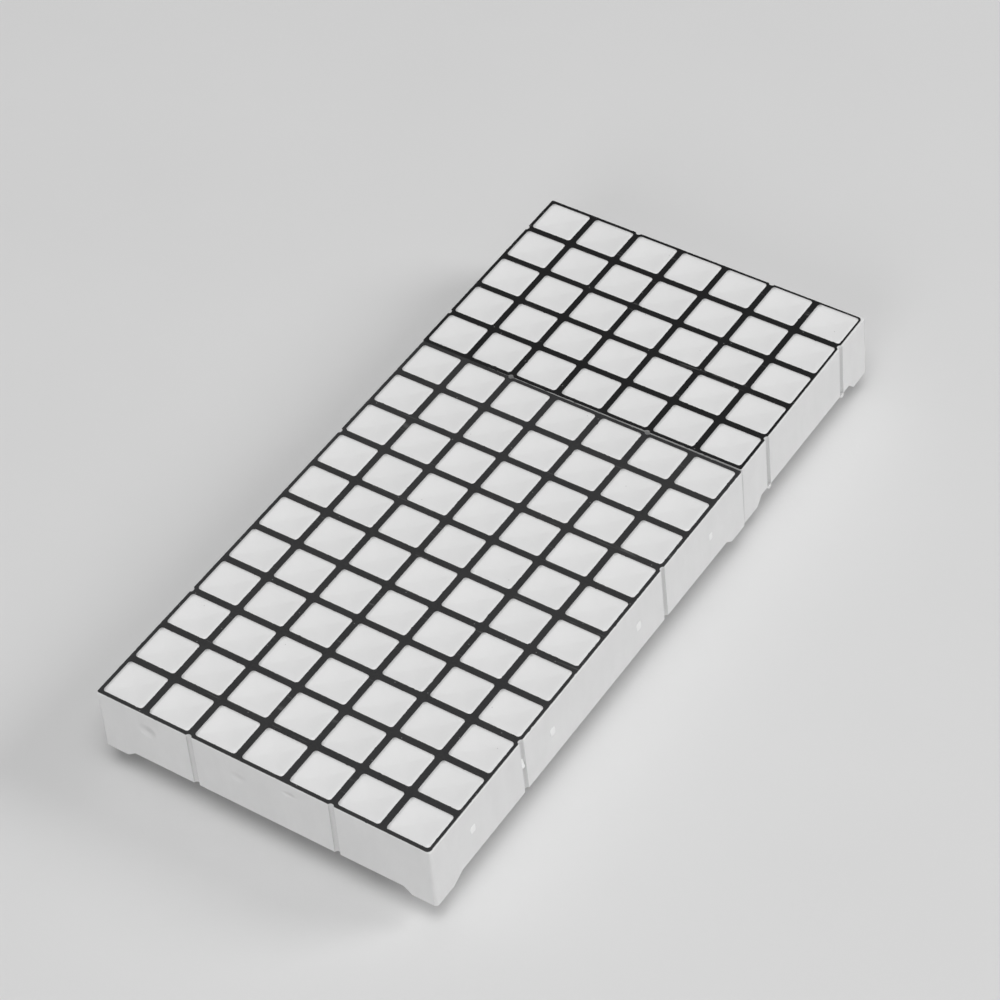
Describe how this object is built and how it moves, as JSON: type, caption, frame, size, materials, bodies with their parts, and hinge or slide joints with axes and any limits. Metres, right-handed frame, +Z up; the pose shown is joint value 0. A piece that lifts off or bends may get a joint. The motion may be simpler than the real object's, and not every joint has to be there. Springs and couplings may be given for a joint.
{
  "type": "led dot matrix display",
  "caption": "Flat light-dot display of two white drafted housings end to end, with square milky dots in a dark printed grid, corner feet, side grooves and rows of pins below.",
  "frame": {"origin": "middle of the display's outline, at the height of the pin tips it stands on", "axes": "+X across the columns, +Y along the rows from the long front module to the short rear module, +Z up out of the lit face"},
  "size_m": [0.0422, 0.0876, 0.0115],
  "materials": {
    "housing_plastic": "white moulded plastic, satin, with a faint grain",
    "front_ink": "dark grey printed ink, semi-matt",
    "rear_ink": "near-black printed ink, semi-matt",
    "resin": "milky epoxy, slightly see-through, satin face",
    "board": "glass-filled epoxy board, green mask",
    "copper": "plated copper foil",
    "chip": "light chip with a gold top pad",
    "bond_wire": "fine gold wire",
    "solder": "bright solder",
    "pin": "tinned round pin"
  },
  "bodies": {
    "root": {"front_housing": "housing_plastic", "front_face_ink": "front_ink", "front_resin": "resin", "front_board": "board", "front_copper": "copper", "front_chips": "chip", "front_bond_wires": "bond_wire", "front_solder": "solder", "front_left_pins": "pin", "front_right_pins": "pin", "rear_housing": "housing_plastic", "rear_face_ink": "rear_ink", "rear_resin": "resin", "rear_board": "board", "rear_copper": "copper", "rear_chips": "chip", "rear_bond_wires": "bond_wire", "rear_solder": "solder", "rear_left_pins": "pin", "rear_right_pins": "pin"}
  },
  "joints": []
}
